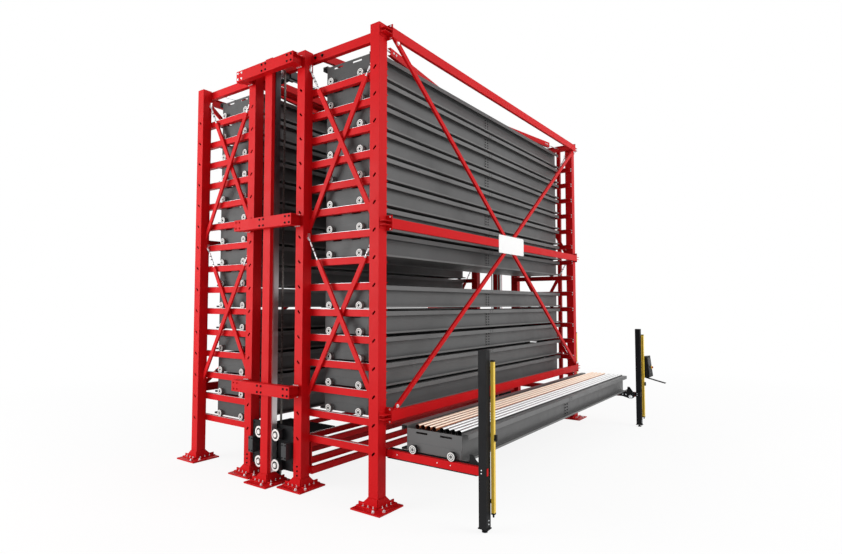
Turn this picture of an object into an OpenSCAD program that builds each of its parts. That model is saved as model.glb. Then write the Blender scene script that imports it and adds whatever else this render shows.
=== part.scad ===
// Vertical lift storage system for long bar and tube stock.
// Two banks of trays stand either side of a lift aisle, with a pick-up table in front.
// X runs along the trays, Y from the pick-up side to the rear, Z up from the floor.

/* [Columns] */
// Side of the square columns and masts
col = 150; // [130:5:160]
// Wall of the columns and masts
col_wall = 8; // [6:1:12]
// Height of the columns above the top bay
head = 180; // [160:5:300]
// Half width of the slanted slots in the columns
slot_r = 12; // [8:1:16]
// Side of the square base plates
base_w = 456; // [420:4:460]
// Thickness of the base plates
base_t = 20; // [12:1:30]
// Radius of the anchor bolts
anchor_r = 10; // [8:1:12]

/* [Levels] */
// Height from one rung to the next
pitch = 340; // [330:5:400]
// Top of the lowest rung above the floor
first_z = 690; // [680:5:760]
// Width of a rung
rung_w = 70; // [66:1:80]
// Height of a rung
rung_h = 90; // [70:1:110]
// Wall of the channel sections
wall = 6; // [4:0.5:8]
// Height of the middle front beam
mid_z = 3455; // [3300:5:3600]

/* [Trays] */
// Length of a tray
tray_l = 6260; // [5000:20:7000]
// Width of a tray over its side channels
tray_w = 936; // [900:4:1000]
// Reach of the side channels
flange = 85; // [75:1:95]
// Depth of the lip under the top flange
lip = 60; // [30:1:90]
// Sheet thickness of a tray
sheet = 4; // [3:0.5:6]
// Radius of the tray rollers
roller_r = 52; // [46:1:56]
// Width of the tray rollers
roller_w = 48; // [40:1:52]
// Distance of the roller axles from the side sheets
roller_inset = 115; // [90:1:140]
// Length of the slots in a tray end
slot_l = 160; // [100:5:200]

/* [Face frame] */
// Height of the front and rear beams
beam_h = 125; // [110:1:135]
// Depth of the front and rear beams
beam_d = 45; // [40:1:60]
// Width of the face braces
brace_w = 62; // [40:1:70]
// Width of the end brace bars
bar_w = 66; // [40:1:80]
// Thickness of the end brace bars
bar_t = 26; // [16:1:28]
// Length of a turnbuckle
buckle_l = 380; // [300:5:450]
// Length of the sign plate
sign_l = 930; // [500:10:1000]
// Height of the sign plate
sign_h = 300; // [250:5:400]

/* [Lift] */
// Offset of the masts outside the column line
mast_step = 128; // [125:1:140]
// Thickness of the guide strips on the masts
strip_t = 20; // [12:1:24]
// Radius of the guide rollers
guide_r = 80; // [70:1:84]
// Width of the guide rollers
guide_w = 60; // [50:1:64]
// Radius of the guide roller pins
pin_r = 20; // [16:1:24]
// Radius of the drive shaft
shaft_r = 30; // [24:1:32]
// Radius of the chain sprockets
sprocket_r = 70; // [60:1:74]
// Reach of the extractor plates along the trays
extractor_l = 545; // [300:5:600]

/* [Table] */
// Distance that the table tray runs from the table into the bank
table_run = 1396; // [1340:2:1420]
// Side of the posts
post_w = 95; // [85:1:100]
// Height of the posts
post_h = 1955; // [1850:5:2050]
// Side of the light bars
light_w = 38; // [30:1:44]
// Outer radius of the stock tubes
tube_r = 30; // [20:1:32]
// Wall of the stock tubes
tube_wall = 4; // [2:0.5:5]
// Width of the control panel
panel_w = 280; // [240:5:285]
// Height of the control panel
panel_h = 420; // [360:5:440]
// Tilt of the control panel
panel_tilt = 7; // [0:1:12]

/* [Hidden] */
$fn = 48;
levels = 15;
table_level = 15;
empty_level = 9;
front_levels = [for (k = [1 : levels]) if (k != empty_level && k != table_level) k];
rear_levels = [1 : levels];
run_gap = 0.3;
fit_gap = 0.05;
seam = 0.2;
overlap = 1;

// Heights
function level_z(k) = first_z + (levels - k) * pitch;
top_z = level_z(1);
col_h = top_z + pitch + head;
mast_h = col_h - 12;
bottom_gap = 20;
top_gap = 25;
tray_top = pitch - top_gap;
end_drop = 28;
stock_z = tray_top - end_drop + seam + tube_r;
tie_h = 120;
tie_z = col_h - 12 - tie_h;
channel_z = top_z + tray_top + 18;
channel_h = 110;
slot_drop = 37;
slot_run = 38;

// Lengths along X, as distances from the middle
end_gap = 5;
tray_end = tray_l / 2;
rung_in = tray_end + end_gap;
col_in = rung_in + rung_w;
col_mid = col_in + col / 2;
col_out = col_in + col;
mast_mid = col_mid + mast_step;
mast_in = mast_mid - col / 2;
mast_out = mast_mid + col / 2;

// Depths along Y, as distances from the mast line
aisle_room = 64;
bank_room = 400;
half_w = tray_w / 2;
in_y = half_w + aisle_room;
out_y = in_y + tray_w + bank_room;
bank_y = (in_y + out_y) / 2;
column_ys = [-out_y, -in_y, in_y, out_y];
rung_start = in_y - 3;
rung_stop = out_y + col / 4;
rail_half = rung_start - 7;
table_y = bank_y + table_run;

// Table and posts
post_gap = 206;
post_y = table_y + half_w + post_gap;
rail_w = 50;
rail_stop = post_y + post_w / 2;
near_post = rung_in + 4.5;
far_post = rung_in + rail_w + post_w / 2;
post_wall = 5;
window_gap = 2;
window_w = post_w / 2 - 2 * post_wall;
window_edge = near_post + post_w / 2 - post_wall - 1;
tongue_out = 5;
tongue_root = 20;
guide_step = 5;
shelf_reach = 450;

// The origin lies on the floor under the middle of the whole
origin_y = (post_y + shelf_reach - out_y - base_w / 2) / 2;

// Front and rear beams
stand_off = 47;
beam_front = out_y + col / 2 + stand_off + beam_d;
beam_half = col_in - 5;
stock_room = 2.3;
low_beam = first_z + stock_z + tube_r + stock_room + beam_h / 2;
beam_drop = 105;
beam_zs = [low_beam, mid_z, col_h - beam_drop];
pad = 8;
rib_step = 25;
bracket_out = col_out - 10;
bracket_h = 134;
plate_above = 40;
plate_below = 25;

// Mast ties
low_mast_tie = 1295;
mid_mast_tie = 138;
top_mast_tie = 170;
mast_tie_zs = [low_mast_tie, mid_z + mid_mast_tie, col_h - top_mast_tie];
mast_tie_h = 155;
mast_tie_d = 97;
mast_tie_half = in_y + col / 2 + 5;
stub_half = 55;
hole_r = 12;
hole_dy = 80;
hole_dz = 86;

// Low frame near the floor
low_z = 170;
low_h = 90;
low_w = 50;
low_gap = 3;
aisle_beam_y = 228;
aisle_beam_z = 150;
aisle_beam_w = 90;
aisle_beam_h = 82;
arm_w = 90;

// Carriage at its lowest place
truck_half = in_y - col / 2 - 12;
plate_t = 32;
plate_out = mast_in - 11;
plate_in = plate_out - plate_t;
truck_low = 185;
truck_top = first_z + 100;
rail_out = col_in - 10;
rail_h = 90;
hang_in = half_w + 7;
hang_low = 240;
cheek_t = 32;
cheek_step = 8;
cheek_low = 300;
guide_y = col / 2 + strip_t + run_gap + guide_r;
guide_zs = [260, first_z - 22];
mount_half = 60;
mount_up = 75;
roller_gap = 4;
mount_out = mast_in + 35;
guide_in = mount_out + roller_gap;
guide_out = guide_in + guide_w;
cap_r = pin_r + 10;
cap_t = 8;
box_mid = 352;
box_half = 48;
box_low = 360;
box_h = 220;
box_out = mast_in + 104;
girder_low = 268;
girder_h = 86;
girder_w = 50;
girder_y = rail_half - 22;
upper_girder = 500;
upper_h = 67;
foot_t = 25;
foot_step = 5;

// Extractor in the groove of the carriage rails
groove_d = 17;
groove_top = first_z - 6;
groove_h = 12;
extractor_half = 480;
tongue_half = 200;
tongue_gap = 2;
dog_h = 20;
dog_w = 60;
dog_in = 12;

// Chain drive
shaft_z = tie_z - 8 - shaft_r;
chain_t = 12;
chain_w = 30;
chain_x = mast_in - 83;
chain_clear = 8;
idler_z = base_t + chain_clear + chain_t + run_gap + sprocket_r;
shaft_end = chain_x + 25;

// Control panel
pivot_x = far_post + post_w / 2 + 50;
pivot_z = 1170;
pivot_r = 8;
boss_r = 14;
panel_x = pivot_x + 20;
panel_back = 10;
panel_d = 170;
stop_r = 20;
stem_r = 9;
stop_gap = 8;

red = "firebrick";
sheet_grey = "dimgray";
zinc = "silver";
black = [0.13, 0.13, 0.14];

function two_digits(k) = str(k < 10 ? "0" : "", k);
function tray_name(bank, k) = str(bank, "_tray_", two_digits(k));
fixed_nodes = [
    "columns", "masts", "base_feet", "anchor_bolts", "rail_rungs", "end_braces", "turnbuckles",
    "cross_ties", "long_beams", "face_braces", "sign_plate", "lift_chains", "drive_unit",
    "table_rails", "table_guides", "light_posts", "light_bars"
];
moving_nodes = [
    "drive_shaft", "carriage_trucks", "carriage_girders",
    "low_front_rollers", "low_rear_rollers", "high_front_rollers", "high_rear_rollers",
    "near_extractor", "far_extractor", "table_tray", "bar_stock",
    "table_front_rollers", "table_rear_rollers", "control_panel", "stop_button"
];

// Shared helpers

module placed() { translate([0, origin_y, 0]) children(); }

module both_ends() {
    children();
    mirror([1, 0, 0]) children();
}

module both_sides() {
    children();
    mirror([0, 1, 0]) children();
}

// A flat outline in Y and Z, drawn out along X
module along_x(length) { rotate([90, 0, 90]) linear_extrude(length) children(); }

// A flat outline in X and Z, drawn out along Y
module along_y(length) { translate([0, length, 0]) rotate([90, 0, 0]) linear_extrude(length) children(); }

// A round bar along X from one place to another
module bar_x(from, to, r) { translate([from, 0, 0]) rotate([0, 90, 0]) cylinder(r = r, h = to - from); }

// A block between two corners
module block(low, high) { translate(low) cube(high - low); }

// A channel section with its web on the first side
module channel(width, height, t = wall)
    polygon([
        [0, 0], [width, 0], [width, t], [t, t], [t, height - t],
        [width, height - t], [width, height], [0, height]
    ]);

// Fixed frame

module tube_post(height)
    difference() {
        translate([-col / 2, -col / 2, 0]) cube([col, col, height]);
        translate([-col / 2 + col_wall, -col / 2 + col_wall, -overlap])
            cube([col - 2 * col_wall, col - 2 * col_wall, height - col_wall + overlap]);
    }

// A slot that rises away from the middle of its bank
module column_slot(slant)
    rotate(45 * slant) {
        square([slot_run, 2 * slot_r], center = true);
        for (end = [-1, 1] * slot_run / 2) translate([end, 0]) circle(slot_r);
    }

module column(y)
    difference() {
        translate([-col_mid, y, base_t]) tube_post(col_h - base_t);
        for (k = [1 : levels])
            translate([-col_out - overlap, y, level_z(k) - slot_drop]) along_x(col_wall + 2 * overlap)
                column_slot(sign(y) * sign(abs(y) - bank_y));
    }

module columns()
    color(red) {
        both_ends() for (y = column_ys) column(y);
        cable_duct();
    }

duct_w = 72;
duct_y = out_y - base_w / 2 - 4;
duct_arm = 40;
duct_t = 4;

// The duct at the far end that takes the cables up from the floor, and its arm on the top tie
module cable_duct() {
    difference() {
        block([col_out - duct_w, -duct_y, 0], [col_out, duct_w - duct_y, tie_z + tie_h]);
        block(
            [col_out - duct_w + duct_t, duct_t - duct_y, -overlap],
            [col_out - duct_t, duct_w - duct_t - duct_y, tie_z + tie_h - duct_t]
        );
    }
    block(
        [col_in + seam, duct_arm / 2 - duct_y, tie_z + duct_arm],
        [col_out - duct_w, duct_w - duct_arm / 2 - duct_y, tie_z + 2 * duct_arm]
    );
}

strip_low = 150;
strip_in = 7;
strip_w = 88;

module masts()
    color(red) both_ends() {
        translate([-mast_mid, 0, base_t]) tube_post(mast_h - base_t);
        both_sides()
            block(
                [-mast_in - strip_in - strip_w, col / 2, strip_low],
                [-mast_in - strip_in, col / 2 + strip_t, mast_h - 100]
            );
    }

anchor_in = 43;
anchor_far = base_w / 2 - anchor_in;
anchor_near = 95;
anchor_places = [
    [-anchor_far, -anchor_near], [-anchor_near, -anchor_far],
    [anchor_far, anchor_near], [anchor_near, anchor_far]
];
foot_places = concat([for (y = column_ys) [-col_mid, y]], [[-mast_mid, 0]]);
cleat_t = 12;
cleat_h = 110;
cleat_low = 45;
cleat_leg = 48;
cleat_more = 148;

// An angle cleat that runs on past one edge of the column
module cleat(more) {
    stop = more > 0 ? col + more : col - seam;
    slope = more > 0 ? [[stop, cleat_low], [col + more / 2, cleat_low], [col, cleat_h]] : [[stop, cleat_h]];
    outline = concat([[seam, 0], [stop, 0]], slope, [[seam, cleat_h]]);
    translate([0, -cleat_t, 0]) along_y(cleat_t) polygon(outline);
    block([seam, -cleat_t - cleat_leg, 0], [stop, 0, cleat_t]);
}

module cleat_pair(more) {
    corner = [-col / 2, -col / 2, base_t];
    translate(corner) cleat(more);
    mirror([1, -1, 0]) translate(corner) cleat(more);
}

module base_feet()
    color(red) both_ends() for (place = foot_places) translate(place) {
        difference() {
            translate([-base_w / 2, -base_w / 2, 0]) cube([base_w, base_w, base_t]);
            for (p = anchor_places)
                translate([p.x, p.y, -overlap]) cylinder(r = anchor_r + fit_gap, h = base_t + 2 * overlap);
        }
        cleat_pair(cleat_more);
        rotate(180) cleat_pair(0);
    }

nut_h = 16;
washer_h = 3;

module anchor_bolts()
    color(zinc) both_ends() for (place = foot_places, p = anchor_places) translate(place + p) {
        cylinder(r = anchor_r, h = base_t + washer_h + nut_h + 8);
        translate([0, 0, base_t]) cylinder(r = anchor_r * 2, h = washer_h);
        translate([0, 0, base_t + washer_h]) cylinder(r = anchor_r * 1.75, h = nut_h, $fn = 6);
    }

module rail_rungs()
    color(red) for (k = [1 : levels]) both_ends() both_sides()
        translate([-col_in, rung_start, level_z(k) - rung_h])
            along_y(rung_stop - rung_start) channel(rung_w, rung_h);

// Braces between the two columns of a bank, as Y and Z from the inner column's bank side
brace_span = tray_w + bank_room - col;
brace_low = 1275;
brace_drop = 240;
brace_high = col_h - brace_drop;
brace_gap = 75;
brace_fields = [[brace_low, mid_z - brace_gap], [mid_z + brace_gap, brace_high]];
bar_step = 10;
function brace_way(f) = [brace_span, f[0] - f[1]] / norm([brace_span, f[0] - f[1]]);

module brace_bar(f) {
    way = brace_way(f);
    across = [-way.y, way.x] * bar_w / 2;
    start = [0, f[1]] + way * buckle_l;
    cut = bar_w / 2 / way.x;
    along_x(bar_t)
        polygon([start - across, [brace_span, f[0] - cut], [brace_span, f[0] + cut], start + across]);
}

lug_d = 28;
lug_h = 90;
rod_r = 10;
sleeve_r = 13;

module buckle(f) {
    way = brace_way(f);
    block([0, 0, f[1] - lug_h / 2], [bar_t, lug_d, f[1] + lug_h / 2]);
    translate([bar_t / 2, 0, f[1]]) rotate([atan2(-way.x, way.y), 0, 0]) {
        translate([0, 0, lug_d]) cylinder(r = rod_r, h = buckle_l - lug_d - seam);
        translate([0, 0, buckle_l * 0.35]) cylinder(r = sleeve_r, h = buckle_l * 0.4, $fn = 6);
    }
}

// The two crossing places of one brace field, one behind the other
module crossed() {
    translate([-col_in - 2 * bar_step - 2 * bar_t, in_y + col / 2, 0]) children();
    translate([-col_in - bar_step - bar_t, in_y + col / 2 + brace_span, 0]) mirror([0, 1, 0]) children();
}

module end_braces()
    color(red) both_ends() both_sides() for (f = brace_fields) crossed() brace_bar(f);

plan_lug = 40;
plan_grip = 60;

// The rod at one end of a brace over a bank, held by a lug inside the brace
module plan_buckle()
    translate([0, 0, plan_z + plan_h / 2]) {
        grip = plan_half - plan_grip;
        block([grip - plan_lug, -plan_w / 2 + wall + seam, -plan_lug / 2], [grip, rod_r, plan_lug / 2]);
        bar_x(grip - plan_lug, plan_end, rod_r);
        translate([plan_half + buckle_l * 0.35, 0, 0]) rotate([0, 90, 0])
            cylinder(r = sleeve_r, h = buckle_l * 0.4, $fn = 6);
    }

module turnbuckles()
    color(zinc) {
        both_ends() both_sides() for (f = brace_fields) crossed() buckle(f);
        both_sides() both_ends() translate([0, -bank_y, 0]) rotate(plan_turn) mirror([1, 0, 0]) plan_buckle();
    }

module bolt_group(y, z)
    for (dy = [-1, 1] * hole_dy / 2, dz = [-1, 1] * hole_dz / 2)
        translate([0, y + dy, z + dz])
            bar_x(-mast_out - mast_tie_d - overlap, -mast_out - mast_tie_d + 3 * wall, hole_r);

stub_up = mast_tie_h / 2 - wall - seam;
stub_t = 10;

// An I-section with an end plate, which carries a mast tie off a column
module tie_stub(z) {
    front = -mast_out - mast_tie_d + wall + seam;
    block([front, in_y - stub_half, z - stub_up], [front + stub_t, in_y + stub_half, z + stub_up]);
    block([front, in_y - stub_t / 2, z - stub_up], [-col_out, in_y + stub_t / 2, z + stub_up]);
    for (low = [-stub_up, stub_up - stub_t])
        block([front, in_y - stub_half, z + low], [-col_out, in_y + stub_half, z + low + stub_t]);
}

module mast_tie(z)
    difference() {
        union() {
            translate([-mast_out - mast_tie_d, -mast_tie_half, z - mast_tie_h / 2])
                along_y(2 * mast_tie_half) channel(mast_tie_d, mast_tie_h);
            both_sides() tie_stub(z);
        }
        for (y = [-in_y, 0, in_y]) bolt_group(y, z);
    }

module cross_ties()
    color(red) both_ends() {
        translate([-col_in, -rung_stop, tie_z]) along_y(2 * rung_stop) channel(rung_w, tie_h);
        for (z = mast_tie_zs) mast_tie(z);
    }

// A ribbed bracket on the face of a column, with a plate that takes the end of a beam
module beam_bracket(z) {
    face = -out_y - col / 2;
    stop = -beam_half - seam;
    block([-bracket_out, face - pad, z - bracket_h / 2], [-col_in, face, z + bracket_h / 2]);
    block([stop - pad, -beam_front, z - beam_h / 2 - plate_below], [stop, face, z + beam_h / 2 + plate_above]);
    for (dz = [-1, 1] * rib_step)
        block([-bracket_out, -beam_front + pad, z + dz - pad / 2], [stop - pad, face - pad, z + dz + pad / 2]);
}

module face_beam(y, z, half) translate([-half, y, z - beam_h / 2]) along_x(2 * half) channel(beam_d, beam_h);

// A long tie beside the columns near the floor, and its end pieces on the columns
module low_tie(y)
    translate([-rung_in + seam, y, low_z]) along_x(2 * (rung_in - seam)) channel(low_w, low_h);

module low_end(from, to) { both_ends() block([-col_in, from, low_z], [-rung_in, to, low_z + low_h]); }

// The beam along the floor of the aisle, and its arms to the columns
module aisle_beam() {
    half = rung_in - arm_w;
    edge = aisle_beam_y + aisle_beam_w;
    top = aisle_beam_z + aisle_beam_h;
    translate([-half, aisle_beam_y, aisle_beam_z]) along_x(2 * half) channel(aisle_beam_w, aisle_beam_h);
    both_ends() {
        block([-rung_in, aisle_beam_y, aisle_beam_z], [-half - seam, in_y, top]);
        block([-col_in, edge + seam, aisle_beam_z], [-rung_in, in_y, top]);
    }
}

light_channel = 60;
aisle_place = 148;
channel_short = 305;

// A channel under the top ties, with an arm to the tie where it stops short
module top_channel(y, width, half) {
    translate([-half, y, channel_z]) along_x(2 * half) channel(width, channel_h);
    if (half < rung_in)
        both_ends() block([-rung_in, y, tie_z], [-half - seam, y + width / 2, channel_z + channel_h]);
}

// Crossed braces over a bank, one whole and one in two halves, drawn tight by turnbuckles at their outer ends
plan_w = 50;
plan_h = 105;
plan_z = tie_z + 12;
plan_turn = atan2(half_w - 8, rung_in);
plan_end = (col_in - wall - seam - rod_r * sin(plan_turn)) / cos(plan_turn);
plan_half = plan_end - 1.2 * buckle_l;
plan_butt = (rung_in - seam - plan_w / 2 * sin(plan_turn)) / cos(plan_turn);

// A brace from the top tie at its inner end to the turnbuckle at its outer end
module plan_bar()
    translate([-plan_half, -plan_w / 2, plan_z]) along_x(plan_half + plan_butt) channel(plan_w, plan_h);

module plan_braces()
    both_sides() translate([0, -bank_y, 0]) {
        rotate(plan_turn) plan_bar();
        difference() {
            mirror([1, 0, 0]) rotate(plan_turn) plan_bar();
            rotate(plan_turn)
                block(
                    [-plan_half, -plan_w / 2 - seam, plan_z - overlap],
                    [plan_half, plan_w / 2 + seam, plan_z + plan_h + overlap]
                );
        }
    }

module long_beams()
    color(red) {
        low_side = in_y + col / 2 + low_gap;
        short_half = rung_in - channel_short;
        for (z = beam_zs) {
            face_beam(-beam_front, z, beam_half);
            both_ends() beam_bracket(z);
            mirror([0, 1, 0]) face_beam(-out_y - col / 2 - beam_d, z, col_mid);
        }
        low_tie(-low_side - low_w);
        low_end(-low_side - low_w, -in_y - low_gap);
        aisle_beam();
        plan_braces();
        top_channel(in_y - aisle_place, light_channel, short_half);
        top_channel(in_y, col / 2, rung_in);
    }

// Half of one diagonal, cut level where it meets a beam
brace_foot = 70;
brace_meet = 62;
module half_diagonal(from, to, half) {
    run = half - brace_foot - brace_meet;
    cut = brace_w / 2 * norm([run, to - from]) / abs(to - from);
    polygon([
        [-half + brace_foot - cut, from], [-half + brace_foot + cut, from],
        [-brace_meet + cut, to], [-brace_meet - cut, to]
    ]);
}

module diagonals(half) {
    depth = beam_d - 2 * wall;
    for (way = [-1, 1]) {
        outer = way > 0 ? beam_zs[2] : beam_zs[0];
        both_ends() translate([0, wall, 0]) along_y(depth)
            half_diagonal(outer - way * beam_h / 2, mid_z + way * beam_h / 2, half);
    }
}

module face_braces()
    color(red) {
        translate([0, -beam_front, 0]) diagonals(beam_half);
        translate([0, out_y + col / 2, 0]) diagonals(col_mid - col / 2);
    }

sign_t = 6;

sign_side = 50;
sign_corner = 25;

module sign_plate()
    color("gainsboro")
        translate([sign_side, -beam_front - sign_t, mid_z]) along_y(sign_t) {
            corner = [sign_l / 2 - sign_corner, sign_h / 2 - sign_corner];
            square([sign_l, 2 * corner.y], center = true);
            square([2 * corner.x, sign_h], center = true);
            for (x = [-1, 1] * corner.x, z = [-1, 1] * corner.y) translate([x, z]) circle(sign_corner);
        }

// Lift drive

module half_ring(z, turn)
    translate([-chain_x - chain_w / 2, 0, z]) rotate([turn, 0, 0]) rotate([90, 0, 90]) linear_extrude(chain_w)
        difference() {
            circle(sprocket_r + run_gap + chain_t);
            circle(sprocket_r + run_gap);
            translate([-2 * sprocket_r, -2 * sprocket_r]) square([4 * sprocket_r, 2 * sprocket_r]);
        }

module lift_chains()
    color(zinc) both_ends() {
        both_sides()
            block(
                [-chain_x - chain_w / 2, sprocket_r + run_gap, idler_z],
                [-chain_x + chain_w / 2, sprocket_r + run_gap + chain_t, shaft_z]
            );
        half_ring(shaft_z, 0);
        half_ring(idler_z, 180);
    }

bearing_half = 45;
gear_half = 70;
gear_l = 140;
motor_r = 50;
motor_l = 240;
idler_axle = 12;

module idler() {
    translate([0, 0, idler_z]) {
        bar_x(-chain_x - chain_w / 2 + 2, -chain_x + chain_w / 2 - 2, sprocket_r);
        bar_x(-chain_x, -chain_x + chain_w + 13, idler_axle);
    }
    block(
        [-chain_x + chain_w, -idler_axle * 2, base_t],
        [-chain_x + chain_w + 13, idler_axle * 2, idler_z + 2 * idler_axle]
    );
}

module drive_unit()
    color(black) {
        both_ends() {
            difference() {
                block(
                    [-col_in + end_gap, -bearing_half, shaft_z - bearing_half],
                    [-rung_in - end_gap, bearing_half, tie_z]
                );
                translate([0, 0, shaft_z]) bar_x(-col_in, -rung_in, shaft_r + fit_gap);
            }
            idler();
        }
        difference() {
            block(
                [-rung_in, -gear_half, channel_z],
                [-rung_in + gear_l, gear_half, channel_z + channel_h]
            );
            translate([0, 0, shaft_z])
                bar_x(-rung_in - overlap, -rung_in + gear_l + overlap, shaft_r + fit_gap);
        }
        translate([-rung_in + gear_l / 2, gear_half, channel_z + channel_h / 2])
            rotate([-90, 0, 0]) cylinder(r = motor_r, h = motor_l);
    }

module drive_shaft()
    color(zinc) translate([0, 0, shaft_z]) {
        bar_x(-shaft_end, shaft_end, shaft_r);
        both_ends() bar_x(-chain_x - chain_w / 2 + 3, -chain_x + chain_w / 2 - 3, sprocket_r);
    }

// Table in front

module table_rails()
    color(red) {
        tongue_low = first_z - rung_h + wall;
        tongue_high = first_z - wall;
        inner_face = -post_y + post_w / 2;
        translate([-rung_in - rail_w, inner_face, first_z - rung_h])
            along_y(post_y - post_w / 2 - rung_stop) channel(rail_w, rung_h);
        block(
            [-window_edge + window_gap, -rail_stop - tongue_out, tongue_low],
            [-window_edge + window_w - window_gap, inner_face + tongue_root, tongue_high]
        );
        mirror([1, 0, 0]) translate([-rung_in - rail_w, -rail_stop, first_z - rung_h])
            along_y(rail_stop - rung_stop) channel(rail_w, rung_h);
    }

inner_guide_w = 50;
inner_guide_drop = 60;
stop_l = 110;
stop_h = 95;
stop_tip = 40;
stop_t = 14;
stop_in = 8;
stop_room = 12;

module table_guides()
    color(black) both_ends() {
        front = -post_y + post_w / 2 + guide_step;
        stop_at = -table_y - half_w - stop_room;
        block(
            [-rung_in, front, first_z - inner_guide_drop],
            [-rung_in + inner_guide_w, -out_y - col / 2, first_z + guide_step]
        );
        translate([-rung_in + stop_in, 0, first_z + guide_step + seam]) along_x(stop_t)
            polygon([[stop_at - stop_l, 0], [stop_at, 0], [stop_at, stop_h], [stop_at - stop_tip, stop_h]]);
    }

pad_r = 32;
pad_h = 14;
screw_r = 11;
foot_z = 34;
foot_plate = 12;
light_gap = 4;
clip_h = 30;
clip_zs = [300, 1010, 1700];
third_gap = 8;

module post_tube()
    difference() {
        translate([-post_w / 2, -post_w / 2, 0]) cube([post_w, post_w, post_h - foot_z]);
        translate([post_wall - post_w / 2, post_wall - post_w / 2, -overlap])
            cube([post_w - 2 * post_wall, post_w - 2 * post_wall, post_h - foot_z - post_wall + overlap]);
    }

// A post on its levelling foot, with clips that carry a light bar
module post() {
    cylinder(r = pad_r, h = pad_h);
    cylinder(r = screw_r, h = foot_z);
    translate([-post_w / 2, -post_w / 2 - 12, foot_z]) cube([post_w, post_w + 24, foot_plate]);
    translate([0, 0, foot_z]) post_tube();
    for (z = clip_zs)
        block(
            [post_w / 2, -post_w / 2 - light_gap, z],
            [post_w / 2 + light_gap + light_w, -post_w / 2 + 20, z + clip_h]
        );
}

module panel_arm()
    translate([0, -post_y, pivot_z]) {
        block([far_post + post_w / 2 + seam, -15, -15], [pivot_x, 15, 15]);
        translate([pivot_x, 0, -20]) cylinder(r = boss_r, h = 40);
        translate([pivot_x, 0, -44]) cylinder(r = pivot_r, h = 88);
    }

module light_posts()
    color(black) {
        difference() {
            translate([-near_post, -post_y, 0]) post();
            block(
                [-window_edge, -rail_stop - overlap, first_z - rung_h + wall - window_gap],
                [-window_edge + window_w, -post_y + post_w, first_z - wall + window_gap]
            );
        }
        translate([far_post, -post_y, 0]) post();
        panel_arm();
        for (z = clip_zs)
            block(
                [col_out, -out_y - col / 2 + 5, z],
                [col_out + third_gap, -out_y - col / 2 + light_w - 5, z + clip_h]
            );
    }

light_low = 180;
light_high = 1840;

module light_bars()
    color("gold") {
        low = [post_w / 2 + light_gap, -post_w / 2 - light_gap - light_w, light_low];
        for (x = [-near_post, far_post])
            translate([x, -post_y, 0]) block(low, [low.x + light_w, low.y + light_w, light_high]);
        block(
            [col_out + third_gap, -out_y - col / 2, light_low],
            [col_out + third_gap + light_w, -out_y - col / 2 + light_w, light_high]
        );
    }

// Carriage of the lift

module carriage_truck()
    difference() {
        union() {
            block([-plate_out, -truck_half, truck_low], [-plate_in, truck_half, truck_top]);
            block([-rail_out, -rail_half, first_z - rail_h], [-rung_in, rail_half, first_z]);
            both_sides() {
                block(
                    [-plate_in + seam, truck_half - cheek_step - cheek_t, cheek_low],
                    [-rail_out - seam, truck_half - cheek_step, first_z - cheek_step]
                );
                block([-rail_out, hang_in, hang_low], [-rung_in, rail_half, first_z - rail_h - seam]);
                block(
                    [-box_out, box_mid - box_half, box_low],
                    [-plate_out - seam, box_mid + box_half, box_low + box_h]
                );
                for (z = guide_zs) translate([0, guide_y, z]) {
                    block([-mount_out, -mount_half, -mount_up], [-plate_out - seam, mount_half, mount_up]);
                    bar_x(-guide_out - roller_gap - cap_t, -mount_out, pin_r);
                    bar_x(-guide_out - roller_gap - cap_t, -guide_out - roller_gap, cap_r);
                }
            }
        }
        block(
            [-rung_in - groove_d, -rail_half - overlap, groove_top - groove_h],
            [-rung_in + overlap, rail_half + overlap, groove_top]
        );
    }

module carriage_trucks() { color(black) both_ends() carriage_truck(); }

module carriage_girders()
    color(red) both_sides() {
        foot_out = rung_in - foot_step;
        girder_end = foot_out - foot_t;
        for (beam = [[girder_low, girder_h], [upper_girder, upper_h]])
            block(
                [-girder_end + seam, girder_y, beam[0]],
                [girder_end - seam, girder_y + girder_w, beam[0] + beam[1]]
            );
        both_ends() {
            block(
                [-foot_out, hang_in + foot_step, hang_low],
                [-girder_end, girder_y + girder_w + foot_step, upper_girder + upper_h]
            );
            block(
                [-rung_in, hang_in + foot_step, hang_low + foot_step],
                [-foot_out, rail_half - foot_step, upper_girder + upper_h - foot_step]
            );
        }
    }

// A pair of guide rollers on one line, at the near and the far mast
module guide_pair(side, z)
    color("gainsboro") both_ends() translate([0, side * guide_y, z])
        difference() {
            bar_x(-guide_out, -guide_in, guide_r);
            bar_x(-guide_out - overlap, -guide_in + overlap, pin_r + fit_gap);
        }

module low_front_rollers() { guide_pair(-1, guide_zs[0]); }
module low_rear_rollers() { guide_pair(1, guide_zs[0]); }
module high_front_rollers() { guide_pair(-1, guide_zs[1]); }
module high_rear_rollers() { guide_pair(1, guide_zs[1]); }

module extractor() {
    low = groove_top - groove_h + run_gap;
    high = groove_top - run_gap;
    edge = -rung_in + tongue_gap;
    block([edge, -extractor_half, low], [edge + extractor_l, extractor_half, high]);
    block([edge - groove_d, -tongue_half, low], [edge, tongue_half, high]);
    both_sides()
        translate([edge + dog_in, extractor_half - dog_in - dog_w, high]) cube([dog_w, dog_w, dog_h]);
}

module near_extractor() { color(zinc) extractor(); }
module far_extractor() { color(zinc) mirror([1, 0, 0]) extractor(); }

// Trays

body_half = half_w - flange;
roller_y = body_half - roller_inset;
slot_h = 22;
slot_y = 170;
slot_z = tray_top - 70;
rim = 25;
axle_r = 12;
axle_l = end_gap + roller_w + 4;

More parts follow.
